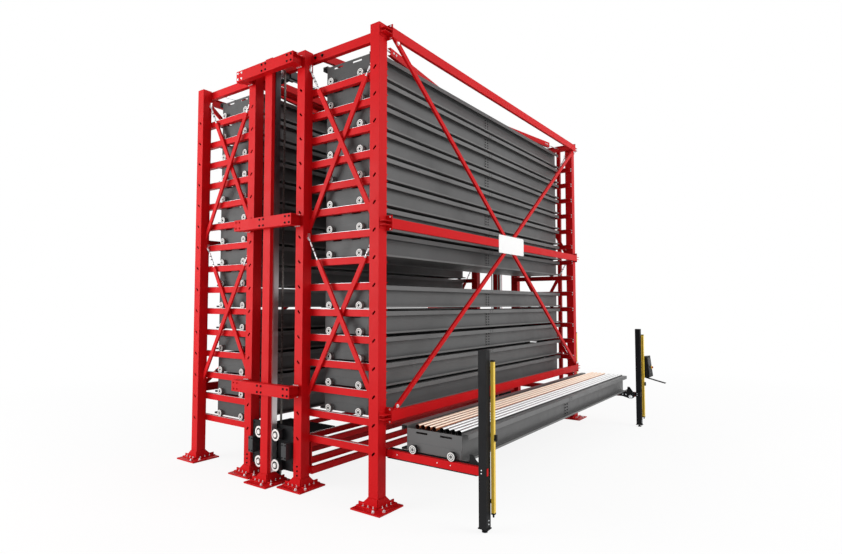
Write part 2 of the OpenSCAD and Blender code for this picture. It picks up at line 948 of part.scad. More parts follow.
module side_channel()
    translate([-tray_end, 0, 0]) along_x(2 * tray_end)
        polygon([
            [body_half, bottom_gap], [half_w, bottom_gap], [half_w, bottom_gap + rim],
            [half_w - sheet, bottom_gap + rim], [half_w - sheet, bottom_gap + sheet],
            [body_half + sheet, bottom_gap + sheet], [body_half + sheet, tray_top - sheet],
            [half_w - sheet, tray_top - sheet], [half_w - sheet, tray_top - lip],
            [half_w, tray_top - lip], [half_w, tray_top], [body_half, tray_top]
        ]);

module tray_end_plate()
    translate([-tray_end, 0, 0]) along_x(sheet) difference() {
        translate([-body_half + seam, bottom_gap]) square([2 * (body_half - seam), tray_top - end_drop - bottom_gap]);
        for (y = [-slot_y, slot_y])
            translate([y - slot_l / 2, slot_z - slot_h / 2]) square([slot_l, slot_h]);
    }

// The sheet body of a tray about its own middle, with the top of its rail at zero
module tray_body() {
    both_sides() side_channel();
    both_ends() tray_end_plate();
    block(
        [-tray_end + sheet + seam, -body_half + seam, bottom_gap],
        [tray_end - sheet - seam, body_half - seam, bottom_gap + sheet]
    );
}

module tray_roller(side, bore)
    translate([0, side * roller_y, roller_r + run_gap])
        difference() {
            bar_x(-tray_end - end_gap - roller_w, -tray_end - (bore > 0 ? end_gap : seam), roller_r);
            if (bore > 0) bar_x(-tray_end - end_gap - roller_w - overlap, -tray_end, bore);
        }

module bank_tray(side, k)
    color(sheet_grey) translate([0, side * bank_y, level_z(k)]) {
        tray_body();
        both_ends() for (s = [-1, 1]) tray_roller(s, 0);
    }

bearer_w = 60;
bearer_share = 0.28;
bearer_xs = [for (i = [-1.5 : 1 : 1.5]) i * tray_l * bearer_share];

module table_tray()
    color(sheet_grey) translate([0, -table_y, first_z]) {
        tray_body();
        both_ends() for (y = [-roller_y, roller_y])
            translate([0, y, roller_r + run_gap]) bar_x(-tray_end - axle_l, -tray_end, axle_r);
        for (x = bearer_xs)
            block(
                [x - bearer_w / 2, -body_half + seam, bottom_gap + sheet + seam],
                [x + bearer_w / 2, body_half - seam, stock_z - tube_r]
            );
    }

stock_in = 2;
stock_end = tray_end - stock_in;
copper_start = -5;
steel_start = -112;
stock_step = 79;
copper_ys = [for (i = [0 : 3]) copper_start + stock_step * i];
steel_ys = [for (i = [0 : 3]) steel_start - stock_step * i];

module bar_stock()
    color("peru") translate([0, -table_y, first_z + stock_z])
        for (y = concat(copper_ys, steel_ys)) translate([0, y, 0])
            difference() {
                bar_x(-stock_end, stock_end, tube_r);
                bar_x(-stock_end - overlap, stock_end + overlap, tube_r - tube_wall);
            }

module table_pair(side)
    color(zinc) translate([0, -table_y, first_z]) both_ends() tray_roller(side, axle_r + fit_gap);

module table_front_rollers() { table_pair(-1); }
module table_rear_rollers() { table_pair(1); }

// Control panel on its swivel arm

module panel_place() { translate([0, -post_y, pivot_z]) rotate([-panel_tilt, 0, 0]) children(); }

panel_front = panel_back - panel_d;
panel_low = -panel_h / 2;
stop_x = panel_x + panel_w - 40;
stop_z = -30;
stop_face = panel_front - 10;
stop_box = 30;
shelf_t = 9;
shelf_w = 110;
shelf_drop = 100;
ear_gap = 0.5;
ear_h = 20;

module panel_ear()
    difference() {
        block([pivot_x - boss_r, -boss_r, 20 + ear_gap], [panel_x + 10, boss_r, 20 + ear_gap + ear_h]);
        translate([pivot_x, 0, 0]) cylinder(r = pivot_r + fit_gap, h = 60);
    }

module key_shelf() {
    root = -post_y - 30;
    tip = -post_y - shelf_reach;
    low = pivot_z + panel_low + 6;
    translate([panel_x + (panel_w - shelf_w) / 2, 0, low]) along_x(shelf_w)
        polygon([[tip, -shelf_drop], [root, 0], [root, shelf_t], [tip, shelf_t - shelf_drop]]);
}

module control_panel()
    color(black) {
        difference() {
            union() {
                panel_place() {
                    block([panel_x, panel_front, panel_low], [panel_x + panel_w, panel_back, panel_h / 2]);
                    block(
                        [stop_x - stop_box, stop_face, stop_z - stop_box],
                        [stop_x + stop_box, panel_front, stop_z + stop_box]
                    );
                }
                key_shelf();
            }
            panel_place() translate([stop_x, stop_face - overlap, stop_z]) rotate([-90, 0, 0])
                cylinder(r = stem_r + fit_gap, h = 41);
        }
        translate([0, -post_y, pivot_z]) {
            panel_ear();
            mirror([0, 0, 1]) panel_ear();
        }
    }

module stop_button()
    color("red") panel_place() translate([stop_x, stop_face - stop_gap, stop_z]) {
        rotate([90, 0, 0]) cylinder(r = stop_r, h = 14);
        rotate([-90, 0, 0]) cylinder(r = stem_r, h = stop_gap + 24);
    }

placed() {
    columns();
    masts();
    base_feet();
    anchor_bolts();
    rail_rungs();
    end_braces();
    turnbuckles();
    cross_ties();
    long_beams();
    face_braces();
    sign_plate();
    lift_chains();
    drive_unit();
    table_rails();
    table_guides();
    light_posts();
    light_bars();
    drive_shaft();
    carriage_trucks();
    carriage_girders();
    low_front_rollers();
    low_rear_rollers();
    high_front_rollers();
    high_rear_rollers();
    near_extractor();
    far_extractor();
    table_tray();
    bar_stock();
    table_front_rollers();
    table_rear_rollers();
    control_panel();
    stop_button();
    for (k = front_levels)
        bank_tray(-1, k);
    for (k = rear_levels)
        bank_tray(1, k);
}
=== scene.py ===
import math

import bmesh
import bpy
from mathutils import Matrix, Vector


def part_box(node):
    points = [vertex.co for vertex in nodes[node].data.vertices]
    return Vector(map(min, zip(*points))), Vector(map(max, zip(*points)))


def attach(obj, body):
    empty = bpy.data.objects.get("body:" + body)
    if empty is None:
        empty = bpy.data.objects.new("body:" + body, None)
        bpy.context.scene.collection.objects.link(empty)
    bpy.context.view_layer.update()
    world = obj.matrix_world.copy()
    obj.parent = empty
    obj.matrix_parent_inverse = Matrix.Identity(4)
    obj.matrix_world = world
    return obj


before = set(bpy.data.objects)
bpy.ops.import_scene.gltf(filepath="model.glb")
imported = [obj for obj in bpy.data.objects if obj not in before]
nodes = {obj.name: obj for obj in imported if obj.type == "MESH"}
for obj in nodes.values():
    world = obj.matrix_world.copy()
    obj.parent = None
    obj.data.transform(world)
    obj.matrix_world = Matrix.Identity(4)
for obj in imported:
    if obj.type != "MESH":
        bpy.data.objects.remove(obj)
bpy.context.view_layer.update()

# Main places of the machine in metres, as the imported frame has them
AISLE_Y = 0.812
LEVELS = 15
PITCH = 0.340
FIRST_RUNG = 0.690
# How far a face's centre may lie off a plane and still count as in it
SLACK = 0.0001

# Columns, masts, rungs and feet
COLUMN = 0.150
COLUMN_X = 3.280
COLUMN_IN = COLUMN_X - COLUMN / 2
COLUMN_OUT = COLUMN_X + COLUMN / 2
COLUMN_YS = [AISLE_Y + y for y in (-1.868, -0.532, 0.532, 1.868)]
MAST_X = 3.408
RUNG_IN = 3.135
RUNG_SPAN = (0.529, 1.9055)
STRIP_XS = (3.192, 3.203)
BASE_T = 0.020
CLEAT_T = 0.012
STUD_SIZE = 0.010

# Mast ties, top ties and front beams
TIE_FACE = 3.580
TIE_ZS = (1.295, 3.593, 5.800)
STUB_X = 3.395
TOP_TIE_Z = 5.898
BEAM_FRONT = AISLE_Y - 2.035
BEAM_ZS = (1.102, 3.455, 5.865)
BEAM_H = 0.125

# Crossed braces: ears of the front ones, turnbuckles of the end ones, and those that lie over the banks
EAR_XS = (3.055, 3.140)
EAR_BOLT_X = 3.098
BRACE_TOPS = (3.380, 5.730)
BRACE_RUN = 1.186
BRACE_FALLS = (2.105, 2.200)
BUCKLE = 0.380
BUCKLE_LAYERS = (3.264, 3.228)
PLAN_BRACE_LEAN = math.radians(8.347)
PLAN_BRACE_END = 2.7756
PLAN_BRACE_Z = 5.9025

# Trays, and the tubes in the tray on the table
BANKS = {"front": AISLE_Y - 1.200, "rear": AISLE_Y + 1.200}
TABLE_Y = AISLE_Y - 2.596
TRAY_END = 3.130
TRAY_HALF = 0.468
TRAY_WEB = 0.383
TRAY_LOW = 0.020
TRAY_TOP = 0.315
WEB_SLACK = 0.006
ROLLER_Y = 0.268
ROLLER_Z = 0.0523
ROLLER_FACE = 3.183
TUBE_Z = FIRST_RUNG + 0.3172
TUBE_STEP = 0.079
COPPER_YS = [TABLE_Y - 0.005 + TUBE_STEP * i for i in range(4)]
STEEL_YS = [TABLE_Y - 0.112 - TUBE_STEP * i for i in range(4)]
TUBE_BORE = 0.028

# Lift carriage and motor
GUIDE_ROLLERS = ["low_front_rollers", "low_rear_rollers", "high_front_rollers", "high_rear_rollers"]
GUIDE_FACES = (3.384, 3.4315)
GUIDE_OUT = 3.432
PIN_CAP_FACE = 3.434
TRUCK_FACE = 3.322
WHEEL_BOX_FACE = 3.437
MOTOR_X = -3.065
MOTOR_Z = 5.838
MOTOR_START = AISLE_Y + 0.070

# Table rails, posts, light bars and control panel
RAIL_OUT = 3.185
RAIL_LOW = 0.600
RAIL_BOLT_YS = [AISLE_Y + y for y in (-2.10, -2.68, -2.86)]
RAIL_BOLT_Z = 0.648
STOP_PLATE = (3.0845, 0.012)
POST_Y = AISLE_Y - 3.270
NEAR_POST = -3.1395
FAR_POST = 3.2325
POST_W = 0.095
POST_TOP = 1.955
POST_BOLT_ZS = (0.628, 0.662)
BAR_SPAN = (0.180, 1.840)
BAR_W = 0.038
BAR_GAP = 0.004
COLUMN_BAR = (3.363, AISLE_Y - 1.943)
PANEL_FACE = -0.160
PANEL_Z = 1.170
PANEL_TILT = math.radians(-7.0)


def level_z(level):
    """Height of a level's rung top; level 1 is the highest."""
    return FIRST_RUNG + (LEVELS - level) * PITCH


# Materials


def colour(code):
    """Linear RGBA of an sRGB hex code."""
    parts = [int(code[i:i + 2], 16) / 255 for i in (1, 3, 5)]
    return [p / 12.92 if p <= 0.04045 else ((p + 0.055) / 1.055) ** 2.4 for p in parts] + [1.0]


def add_node(tree, kind, settings=None, links=None):
    """Adds a node, sets its options and sockets, and links other sockets into it."""
    made = tree.nodes.new(kind)
    for key, value in (settings or {}).items():
        if isinstance(key, str) and hasattr(made, key):
            setattr(made, key, value)
        else:
            made.inputs[key].default_value = value
    for key, source in (links or {}).items():
        tree.links.new(source, made.inputs[key])
    return made


def blank_material(name):
    """A material with an empty tree, its output and the object's own coordinates in metres."""
    made = bpy.data.materials.new(name)
    made.use_nodes = True
    tree = made.node_tree
    tree.nodes.clear()
    output = add_node(tree, "ShaderNodeOutputMaterial")
    place = add_node(tree, "ShaderNodeTexCoord").outputs["Object"]
    return made, tree, output, place


def mottled(tree, place, size_mm, low, high, detail=3.0, stretch=(1.0, 1.0, 1.0)):
    """A soft pattern of patches of one size in millimetres, mapped from one value to another."""
    mapped = add_node(tree, "ShaderNodeMapping", {"Scale": stretch}, {"Vector": place})
    patches = add_node(
        tree, "ShaderNodeTexNoise",
        {"Scale": 1000.0 / size_mm, "Detail": detail, "Roughness": 0.55},
        {"Vector": mapped.outputs[0]},
    )
    return add_node(
        tree, "ShaderNodeMapRange",
        {"From Min": 0.3, "From Max": 0.7, "To Min": low, "To Max": high},
        {"Value": patches.outputs["Fac"]},
    ).outputs[0]


def tinted(tree, factor, first, second):
    """A colour that goes from one hex to another with a factor."""
    return add_node(
        tree, "ShaderNodeMix",
        {"data_type": "RGBA", 6: colour(first), 7: colour(second)},
        {0: factor},
    ).outputs[2]


def soft_edges(tree, width_mm):
    """The normal of edges rounded to a width, and how near a point is to such an edge, from 0 to 1."""
    rounded = add_node(tree, "ShaderNodeBevel", {"samples": 4, "Radius": width_mm / 1000})
    true_normal = add_node(tree, "ShaderNodeNewGeometry").outputs["Normal"]
    along = add_node(
        tree, "ShaderNodeVectorMath", {"operation": "DOT_PRODUCT"},
        {0: rounded.outputs[0], 1: true_normal},
    )
    near = add_node(
        tree, "ShaderNodeMapRange",
        {"From Min": 0.995, "From Max": 0.85, "To Min": 0.0, "To Max": 1.0},
        {"Value": along.outputs["Value"]},
    )
    return rounded.outputs[0], near.outputs[0]


def powder_coat(name, plain, deep, edge_wear_and_highlight, rough, peel_mm=9.0, peel=0.08, specular=0.5, worn=0.5):
    """Baked powder paint on steel: even colour with slow drifts, a fine orange peel, and paler edges that
    are partly wear and partly a painted highlight.
    """
    made, tree, output, place = blank_material(name)
    drift = tinted(tree, mottled(tree, place, 700.0, 0.0, 1.0), deep, plain)
    scuffs = mottled(tree, place, 60.0, 0.0, worn)
    rounded, near_edge = soft_edges(tree, 5.0)
    # Paler colour near edges, scaled by the scuffs: partly wear and partly a painted highlight
    edge_wear_and_highlight_mask = add_node(tree, "ShaderNodeMath", {"operation": "MULTIPLY"}, {0: near_edge, 1: scuffs})
    painted = add_node(
        tree, "ShaderNodeMix",
        {"data_type": "RGBA", 7: colour(edge_wear_and_highlight)},
        {0: edge_wear_and_highlight_mask.outputs[0], 6: drift},
    )
    skin = add_node(
        tree, "ShaderNodeBump",
        {"Strength": peel, "Distance": 0.001},
        {"Height": mottled(tree, place, peel_mm, 0.0, 1.0, 1.0), "Normal": rounded},
    )
    shader = add_node(
        tree, "ShaderNodeBsdfPrincipled",
        {"Specular IOR Level": specular, "IOR": 1.5},
        {
            "Base Color": painted.outputs[2],
            "Roughness": mottled(tree, place, 180.0, rough - 0.06, rough + 0.06),
            "Normal": skin.outputs[0],
        },
    )
    tree.links.new(shader.outputs[0], output.inputs["Surface"])
    return made


def bare_metal(
    name, bright, dull, rough, patch_mm, stretch=(1.0, 1.0, 1.0), grain=0.15, flank_shade=None, fade=None
):
    """Metal clouded in patches of one size.

    gaps is the colour of painted shade on flanks that face sideways or down, fade the heights from bright to
    dull.
    """
    made, tree, output, place = blank_material(name)
    clouds = mottled(tree, place, patch_mm, 0.0, 1.0, 4.0, stretch)
    if fade:
        height = add_node(tree, "ShaderNodeSeparateXYZ", None, {0: place}).outputs["Z"]
        clouds = add_node(
            tree, "ShaderNodeMapRange",
            {"From Min": fade[0], "From Max": fade[1], "To Min": 1.0, "To Max": 0.0},
            {"Value": height},
        ).outputs[0]
    surface = tinted(tree, clouds, dull, bright)
    links = {}
    # Painted shade: flanks that face sideways or down take the flank colour and lose their metal sheen
    if flank_shade:
        facing = add_node(tree, "ShaderNodeNewGeometry").outputs["Normal"]
        upward = add_node(tree, "ShaderNodeSeparateXYZ", None, {0: facing}).outputs["Z"]
        unshaded_share = add_node(
            tree, "ShaderNodeMapRange", {"From Min": 0.42, "From Max": 0.56}, {"Value": upward}
        ).outputs[0]
        surface = add_node(
            tree, "ShaderNodeMix", {"data_type": "RGBA", 6: colour(flank_shade)}, {0: unshaded_share, 7: surface}
        ).outputs[2]
        links["Metallic"] = unshaded_share
    scratch = add_node(
        tree, "ShaderNodeBump",
        {"Strength": grain, "Distance": 0.0005},
        {"Height": mottled(tree, place, patch_mm / 4, 0.0, 1.0, 2.0, stretch)},
    )
    shader = add_node(
        tree, "ShaderNodeBsdfPrincipled",
        {"Metallic": 1.0},
        {
            "Base Color": surface,
            "Roughness": mottled(tree, place, patch_mm * 3, rough - 0.08, rough + 0.08),
            "Normal": scratch.outputs[0],
            **links,
        },
    )
    tree.links.new(shader.outputs[0], output.inputs["Surface"])
    return made


def moulded(name, plain, deep, rough, grit_mm=3.0, bump=0.1, specular=0.5):
    """Moulded plastic, rubber or glass: one colour with faint clouds and a fine grit."""
    made, tree, output, place = blank_material(name)
    skin = add_node(
        tree, "ShaderNodeBump",
        {"Strength": bump, "Distance": 0.0005},
        {"Height": mottled(tree, place, grit_mm, 0.0, 1.0, 1.0)},
    )
    shader = add_node(
        tree, "ShaderNodeBsdfPrincipled",
        {"Specular IOR Level": specular, "IOR": 1.5},
        {
            "Base Color": tinted(tree, mottled(tree, place, 90.0, 0.0, 1.0), deep, plain),
            "Roughness": mottled(tree, place, 40.0, rough - 0.05, rough + 0.05),
            "Normal": skin.outputs[0],
        },
    )
    tree.links.new(shader.outputs[0], output.inputs["Surface"])
    return made


# Red polyester powder coat on tube steel: strong even red, satin, paler at the edges, partly from wear and
# partly as a painted highlight
red_paint = powder_coat(
    "red_powder_coat_on_steel", "#d2151b", "#c91217", "#d8332f", 0.42, peel=0.03, specular=0.09
)
# Dark grey coated sheet: neutral, satin, with slow drifts from rolling and folding
tray_sheet = powder_coat("grey_coated_sheet_steel", "#676767", "#5f5f5f", "#8a8a8a", 0.46, 14.0, 0.06)
# The same coat on the webs between the folded lips: a shade deeper, as painted shade in the recess between
# the lips
deeper_grey_and_web_shade = powder_coat("deeper_grey_coat_and_painted_web_shade", "#595959", "#515151", "#7c7c7c", 0.46, 14.0, 0.06)
# The same coat on the cut and folded end plates of the stored trays: darker, as painted shade for ends that
# sit inside the frame
end_plate_shade = powder_coat(
    "grey_coat_with_painted_end_plate_shade", "#484949", "#404141", "#6c6d6d", 0.5, 14.0, 0.06, 0.3
)
# Black powder coat on light sections: deep, matt, and grey at the edges, partly from wear and partly as a
# painted highlight
black_paint = powder_coat(
    "black_powder_coat_on_steel", "#121214", "#0e0e10", "#2c2c2e", 0.58, 8.0, 0.1, 0.18
)
# Yellow coat on drawn aluminium housings: warm, clean, half gloss
yellow_paint = powder_coat(
    "yellow_coat_on_drawn_aluminium", "#ffdc55", "#fad044", "#ffe89a", 0.38, 6.0, 0.05
)
# Graphite coat on gearbox and wheel boxes: a little lighter than the black
graphite_paint = powder_coat(
    "graphite_coat_on_cast_iron", "#2b2c2e", "#232426", "#4a4b4d", 0.5, 12.0, 0.2, 0.4
)
# White enamel on a thin sign plate: clean, even and satin
white_enamel = powder_coat(
    "white_enamel_on_sign_plate", "#ffffff", "#fdfdfc", "#ffffff", 0.5, 20.0, 0.01, 0.25
)
# Bright zinc plate on bolts and rods: silver with a faint cloudy bloom
zinc = bare_metal("bright_zinc_plate", "#eef0f1", "#d3d7d9", 0.40, 9.0)
# Ground steel of strips and shafts: even grey silver with fine lengthwise grain
ground_steel = bare_metal("ground_steel", "#bfc1c3", "#acaeb0", 0.36, 60.0, (1.0, 1.0, 0.08), 0.05)
# Guide strips of the masts: steel with a painted reflection of the pale floor, bright low down and dark grey
# higher up
guide_steel = bare_metal(
    "guide_steel_painted_floor_reflection", "#f2f3f4", "#55575a", 0.42, 60.0, (1.0, 1.0, 0.08), 0.05, fade=(1.2, 4.4)
)
# Oiled roller chain: brown grey steel, links and oil film seen as small dark clouds
oiled_steel = bare_metal("oiled_chain_steel", "#8a8784", "#55524f", 0.46, 19.0)
# Black oxide on bolts: dark grey metal with a faint sheen on the rims
black_oxide = bare_metal("black_oxide_on_bolts", "#1a1a1b", "#101011", 0.5, 8.0)
# Drawn copper tube: warm pink metal, bright on top, with painted brown shade on the flanks, and drawn
# streaks along X
copper = bare_metal(
    "drawn_copper_tube", "#fff0e0", "#ffdfc6", 0.36, 26.0, (0.05, 1.0, 1.0), 0.05, "#b0683f"
)
# Drawn steel tube: near white on top, with painted dark shade on the flanks, and streaks along X
steel_tube = bare_metal(
    "drawn_bright_steel_tube", "#ffffff", "#f4f4f4", 0.36, 26.0, (0.05, 1.0, 1.0), 0.05, "#1a1918"
)
# Bore and sawn end of a copper tube: dull red brown, painted shade for the dark inside of the long tube
copper_bore = moulded("copper_bore_painted_shade", "#3a0d08", "#260705", 0.6, 3.0, 0.1, 0.1)
# Bore and sawn end of a steel tube: near black, painted shade for the dark inside of the long tube
steel_bore = moulded("steel_bore_painted_shade", "#141312", "#0c0b0b", 0.6, 3.0, 0.1, 0.1)
# Cast nylon wheels: white, waxy and soft in the highlight
nylon = moulded("cast_white_nylon", "#f4f3f0", "#eae9e5", 0.4)
# Dark rubber of seals, feet and bumpers: matt and nearly black
rubber = moulded("dark_moulded_rubber", "#1b1b1c", "#141415", 0.7, 2.0, 0.3, 0.2)
# Red push button: saturated moulded plastic with a soft gloss
red_plastic = moulded("red_moulded_plastic", "#c8161a", "#b51216", 0.3)
# Screen glass: near black, with a weak gloss under its matt film
dark_glass = moulded("dark_screen_glass", "#0d1114", "#090c0e", 0.3, 30.0, 0.01, 0.08)
# Lens strip of the light bars: amber plastic, a shade darker than the housing
amber_lens = moulded("amber_lens_plastic", "#c9a22a", "#b8921f", 0.45, 8.0, 0.05, 0.2)
# Tread of the guide rollers: dark polyurethane, matt
dark_tread = moulded("dark_polyurethane_tread", "#2a2a2b", "#212122", 0.6, 4.0, 0.2, 0.25)


# Shapes shared by the pieces


def block(mesh, low, high, edge=0.0, finish=0, segments=1):
    """A block between two corners with its edges taken off."""
    low, high = Vector(low), Vector(high)
    corners = bmesh.ops.create_cube(mesh, size=1.0)["verts"]
    bmesh.ops.scale(mesh, vec=high - low, verts=corners)
    bmesh.ops.translate(mesh, vec=(low + high) / 2, verts=corners)
    for face in {f for v in corners for f in v.link_faces}:
        face.material_index = finish
    if edge:
        rims = list({e for v in corners for e in v.link_edges})
        bmesh.ops.bevel(
            mesh, geom=rims, offset=edge, segments=segments, profile=0.5, affect="EDGES", material=-1
        )


def turned(mesh, profile, steps, finish=0):
    """A shape spun about Z from (radius, height) points."""
    points = [mesh.verts.new((r, 0.0, z)) for r, z in profile]
    line = [mesh.edges.new(pair) for pair in zip(points, points[1:])]
    before = set(mesh.faces)
    bmesh.ops.spin(
        mesh, geom=points + line, axis=(0, 0, 1), cent=(0, 0, 0), dvec=(0, 0, 0),
        angle=2 * math.pi, steps=steps, use_merge=True,
    )
    fresh = [f for f in mesh.faces if f not in before]
    for face in fresh:
        face.material_index = finish
    corners = list({v for f in fresh for v in f.verts})
    bmesh.ops.remove_doubles(mesh, verts=corners, dist=1e-6)
    bmesh.ops.recalc_face_normals(mesh, faces=[f for f in mesh.faces if f not in before])


def pattern(make):
    """A small mesh that is stamped many times."""
    mesh = bmesh.new()
    make(mesh)
    kept = bpy.data.meshes.new(make.__name__)
    mesh.to_mesh(kept)
    mesh.free()
    return kept


def stamp(mesh, shape, at, way=(0, 0, 1), size=1.0, finish=None):
    """Adds a copy of a small mesh at a place, with its Z along a direction, in one finish or its own."""
    turn = Vector(way).to_track_quat("Z", "Y").to_matrix().to_4x4()
    copy = shape.copy()
    if finish is not None:
        for face in copy.polygons:
            face.material_index = finish
    copy.transform(Matrix.Translation(at) @ turn @ Matrix.Scale(size, 4))
    mesh.from_mesh(copy)
    bpy.data.meshes.remove(copy)


def hex_bolt(mesh):
    """Washer and chamfered hexagon head, with a half width of one unit across its corners."""
    turned(mesh, [(0.0, 0.0), (1.25, 0.0), (1.25, 0.2), (0.0, 0.2)], 10)
    turned(mesh, [(0.0, 0.2), (1.0, 0.2), (1.0, 0.75), (0.82, 0.9), (0.0, 0.9)], 6)


def stud_and_nut(mesh):
    """Nut on a washer with the stud's end standing out of it."""
    turned(mesh, [(0.0, 0.0), (1.3, 0.0), (1.3, 0.2), (0.0, 0.2)], 10)
    turned(mesh, [(0.0, 0.2), (1.0, 0.2), (1.0, 1.0), (0.0, 1.0)], 6)
    turned(mesh, [(0.0, 1.0), (0.55, 1.0), (0.55, 2.3), (0.42, 2.5), (0.0, 2.5)], 8)


def rivet(mesh):
    """Low domed rivet head."""
    turned(mesh, [(1.0, 0.0), (0.9, 0.3), (0.55, 0.5), (0.0, 0.55)], 8)


BOLT = pattern(hex_bolt)
STUD = pattern(stud_and_nut)
RIVET = pattern(rivet)


def finished(name, mesh, body, slot, *finishes):
    """Makes a piece of a bmesh, gives it its finishes and puts it on its body."""
    data = bpy.data.meshes.new(name)
    mesh.to_mesh(data)
    mesh.free()
    for finish in finishes:
        data.materials.append(finish)
    made = bpy.data.objects.new(name, data)
    bpy.context.scene.collection.objects.link(made)
    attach(made, body)
    return made


# Finishes of the CAD nodes


def paint(names, *finishes, choose=None):
    """Gives nodes their finishes; choose picks one by a face's centre."""
    for name in names:
        data = nodes[name].data
        data.materials.clear()
        for finish in finishes:
            data.materials.append(finish)
        for face in data.polygons:
            face.material_index = choose(face.center) if choose else 0


def mast_finish(centre):
    """Guide steel, with its painted floor reflection, on the guide strips beside the mast tube."""
    return int(abs(centre.y - AISLE_Y) > COLUMN / 2 + 0.0005)


def tray_finish(centre):
    """Painted shade: darker grey on the end plates and on the webs recessed between the lips."""
    if abs(abs(centre.x) - TRAY_END) < SLACK:
        return 1
    off_web = min(abs(abs(centre.y - y) - TRAY_WEB) for y in (*BANKS.values(), TABLE_Y))
    return 2 if off_web < WEB_SLACK else 0


def stock_finish(centre):
    """Copper on the tubes nearer the bank, steel on the others, and painted shade on the bores and ends."""
    steel = int(centre.y < TABLE_Y - 0.055)
    middle = min(STEEL_YS if steel else COPPER_YS, key=lambda y: abs(y - centre.y))
    inside = math.hypot(centre.y - middle, centre.z - TUBE_Z) < TUBE_BORE
    return steel + 2 * int(inside or abs(centre.x) > TRAY_END - 0.0025)


def roller_finish(centre):
    """Dark tread between the white faces of a guide roller."""
    return int(GUIDE_FACES[0] < abs(centre.x) < GUIDE_FACES[1])


def truck_finish(centre):
    """Black plates, graphite wheel boxes and white caps on the roller pins."""
    if abs(centre.x) > PIN_CAP_FACE and 0.13 < abs(centre.y - AISLE_Y) < 0.22:
        return 2
    return int(0.30 < abs(centre.y - AISLE_Y) < 0.401 and abs(centre.x) > TRUCK_FACE + SLACK)


def dress_nodes():
    """Puts the right finish on every solid that is carried over."""
    paint(
        ["columns", "base_feet", "rail_rungs", "end_braces", "cross_ties", "long_beams", "face_braces",
         "table_rails", "carriage_girders"],
        red_paint,
    )
    paint(["masts"], red_paint, guide_steel, choose=mast_finish)
    paint(["anchor_bolts", "turnbuckles"], zinc)
    paint(["drive_shaft"], ground_steel)
    paint(["lift_chains"], oiled_steel)
    paint(["sign_plate"], white_enamel)
    paint(["drive_unit"], graphite_paint)
    paint(["table_guides", "light_posts", "control_panel", "near_extractor", "far_extractor"], black_paint)
    paint(["light_bars"], yellow_paint)
    paint(["carriage_trucks"], black_paint, graphite_paint, nylon, choose=truck_finish)
    paint(GUIDE_ROLLERS, nylon, dark_tread, choose=roller_finish)
    paint(["table_front_rollers", "table_rear_rollers"], graphite_paint)
    paint(["bar_stock"], copper, steel_tube, copper_bore, steel_bore, choose=stock_finish)
    paint(["stop_button"], red_plastic)
    stored = [name for name in nodes if name.startswith(("front_tray", "rear_tray"))]
    paint(stored, tray_sheet, end_plate_shade, deeper_grey_and_web_shade, choose=tray_finish)
    paint(["table_tray"], tray_sheet, deeper_grey_and_web_shade, deeper_grey_and_web_shade, choose=tray_finish)


# Trays


def roller_face(mesh):
    """White cheek and hub, grey seal and dark axle end of a tray roller, and the rim of its inner cheek."""
    turned(mesh, [(0.039, 0.0), (0.039, 0.003), (0.048, 0.003), (0.0505, 0.0)], 20, 0)
    turned(mesh, [(0.029, 0.0), (0.029, 0.001), (0.039, 0.001), (0.039, 0.0)], 16, 2)
    turned(mesh, [(0.019, 0.0), (0.019, 0.003), (0.029, 0.003), (0.029, 0.0)], 16, 0)
    turned(mesh, [(0.019, 0.0), (0.017, 0.002), (0.006, 0.002), (0.005, 0.001), (0.0, 0.001)], 12, 1)
    inner_rim = [(0.0510, -0.048), (0.0522, -0.048), (0.0522, -0.043), (0.0510, -0.043), (0.0510, -0.048)]
    turned(mesh, inner_rim, 20, 0)


ROLLER_RINGS = pattern(roller_face)


def tray_fittings():
    """What every tray carries: roller faces, end bands, and the splice at mid length."""
    mesh = bmesh.new()
    for end in (-1, 1):
        for side in (-1, 1):
            stamp(mesh, ROLLER_RINGS, (end * ROLLER_FACE, side * ROLLER_Y, ROLLER_Z), (end, 0, 0))
        face = end * TRAY_END
        band = sorted((face, face + end * 0.003))
        block(mesh, (band[0], -TRAY_WEB + 0.004, TRAY_LOW), (band[1], TRAY_WEB - 0.004, 0.125), 0.001, 3)
    for side in (-1, 1):
        web = side * (TRAY_WEB + 0.004)
        plate = sorted((web, web + side * 0.004))
        block(mesh, (-0.075, plate[0], TRAY_LOW + 0.008), (0.075, plate[1], TRAY_TOP - 0.008), 0.001, 2)
        for x in (-0.040, 0.040):
            for step in range(5):
                stamp(mesh, BOLT, (x, web + side * 0.004, 0.055 + step * 0.045), (0, side, 0), 0.010, 1)
            for z in (TRAY_TOP - 0.016, TRAY_TOP - 0.044):
                stamp(mesh, RIVET, (x, side * TRAY_HALF, z), (0, side, 0), 0.008, 1)
    return mesh


def dress_trays():
    """Puts the tray fittings on every stored tray and on the table tray."""
    fittings = bpy.data.meshes.new("tray_fittings")
    shape = tray_fittings()
    shape.to_mesh(fittings)
    shape.free()
    places = {"table_tray": (0.0, TABLE_Y, FIRST_RUNG)}
    for bank, y in BANKS.items():
        for level in range(1, LEVELS + 1):
            name = f"{bank}_tray_{level:02d}"
            if name in nodes:
                places[name] = (0.0, y, level_z(level))
    for body, place in places.items():
        copy = fittings.copy()
        copy.transform(Matrix.Translation(place))
        mesh = bmesh.new()
        mesh.from_mesh(copy)
        bpy.data.meshes.remove(copy)
        # Painted shade: the stored trays' end bands take the darker end plate grey, the table tray's take
        # the deeper web grey
        band = deeper_grey_and_web_shade if body == "table_tray" else end_plate_shade
        finished(f"{body}_fittings", mesh, body, "grey_paint", nylon, rubber, deeper_grey_and_web_shade, band)


# Fixed frame


